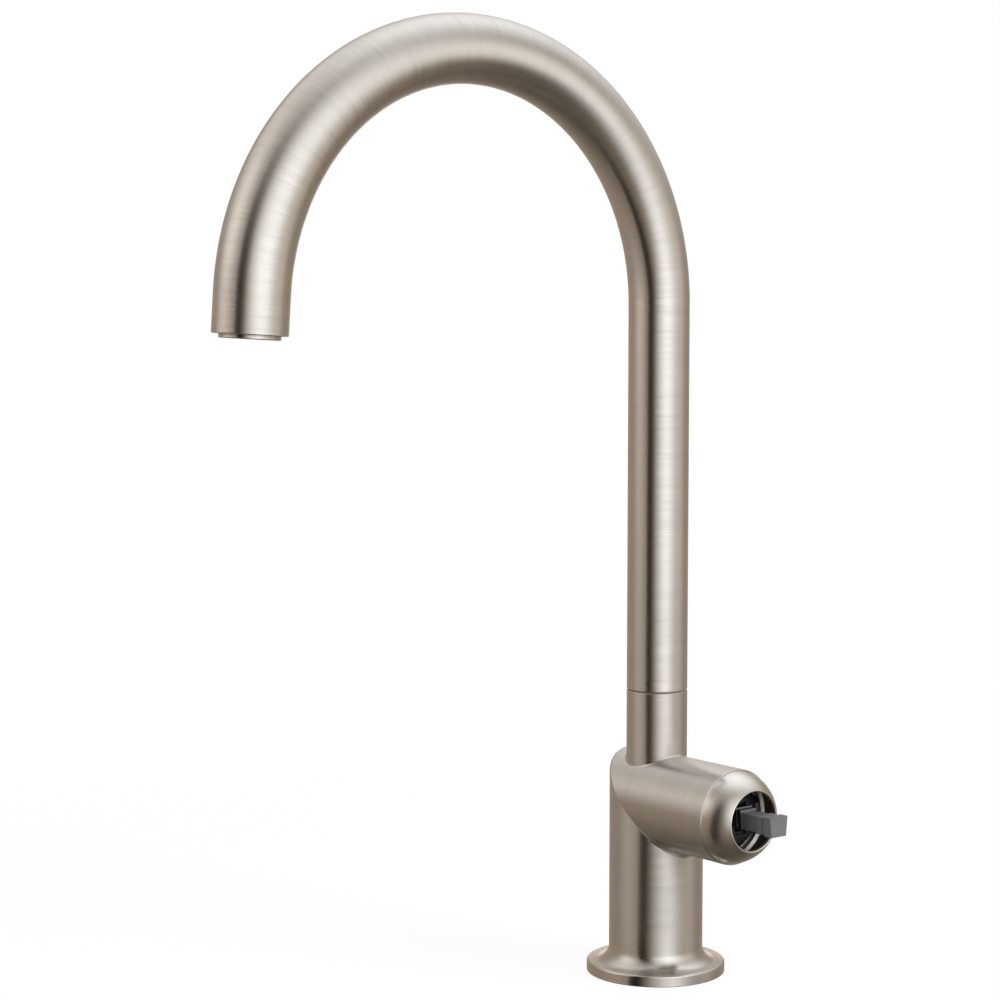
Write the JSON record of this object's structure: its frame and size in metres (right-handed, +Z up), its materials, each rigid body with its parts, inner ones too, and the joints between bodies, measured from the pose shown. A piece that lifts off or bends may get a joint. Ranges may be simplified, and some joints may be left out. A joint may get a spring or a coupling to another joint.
{
  "type": "gooseneck kitchen faucet",
  "caption": "Deck-mounted kitchen faucet in brushed nickel with a tall swivelling gooseneck spout and a side valve hub whose bare stem takes a lever handle.",
  "frame": {"origin": "centre of the flange's underside, on the deck", "axes": "+Z up, spout towards -Y at rest, valve hub and stem along +X"},
  "size_m": [0.1024, 0.2449, 0.4606],
  "materials": {
    "brushed_nickel": "brushed nickel plate over brass",
    "plated_brass": "machined brass",
    "brass": "machined brass",
    "steel": "stainless steel",
    "rubber": "black nitrile rubber",
    "black_plastic": "black moulded acetal",
    "grey_plastic": "grey glass-filled nylon",
    "white_plastic": "natural moulded acetal",
    "ceramic": "lapped alumina"
  },
  "bodies": {
    "body": {"faucet_body": "brushed_nickel", "dome_bonnet": "brushed_nickel", "bonnet_seal": "rubber", "cartridge_base": "white_plastic", "port_seals": "rubber", "fixed_disc": "ceramic", "cartridge_housing": "black_plastic", "cartridge_nut": "plated_brass", "temperature_stop": "black_plastic", "mounting_shank": "brass", "base_gasket": "rubber"},
    "rotor": {"stem_rotor": "black_plastic", "stem_pin": "steel", "rotor_cap": "black_plastic"},
    "stem": {"valve_stem": "grey_plastic"},
    "carrier": {"disc_carrier": "white_plastic", "moving_disc": "ceramic"},
    "spout": {"spout_tube": "brushed_nickel", "spout_spigot": "brass", "spigot_seals": "rubber", "glide_bushes": "white_plastic", "spout_retaining_ring": "steel", "swivel_washer": "black_plastic", "outlet_adapter": "brass", "aerator_shell": "brushed_nickel", "aerator_washer": "rubber", "aerator_grid": "white_plastic", "aerator_diffuser": "white_plastic", "flow_regulator": "white_plastic", "strainer_screen": "steel"},
    "deck_clamp": {"deck_seal_washer": "rubber", "deck_washer": "steel", "mounting_nut": "brass"}
  },
  "joints": [
    {"name": "spout_swivel", "type": "hinge", "parent": "body", "child": "spout", "pos_m": [0, 0, 0.1201], "axis": [0, 0, 1], "continuous": true},
    {"name": "temperature_turn", "type": "hinge", "parent": "body", "child": "rotor", "pos_m": [0.0443, 0, 0.0734], "axis": [1, 0, 0], "range_deg": [-45, 45]},
    {"name": "flow_lift", "type": "hinge", "parent": "rotor", "child": "stem", "pos_m": [0.0443, 0, 0.0734], "axis": [0, -1, 0], "range_deg": [-12.5, 12.5]},
    {"name": "disc_slide", "type": "slide", "parent": "rotor", "child": "carrier", "axis": [0, 0, 1], "range_m": [-0.0022, 0.0022]},
    {"name": "deck_clamp_travel", "type": "slide", "parent": "body", "child": "deck_clamp", "axis": [0, 0, 1], "range_m": [-0.02, 0.025]}
  ],
  "couplings": [
    {"joint": "disc_slide", "follows": "flow_lift", "m_per_rad": -0.0095}
  ]
}
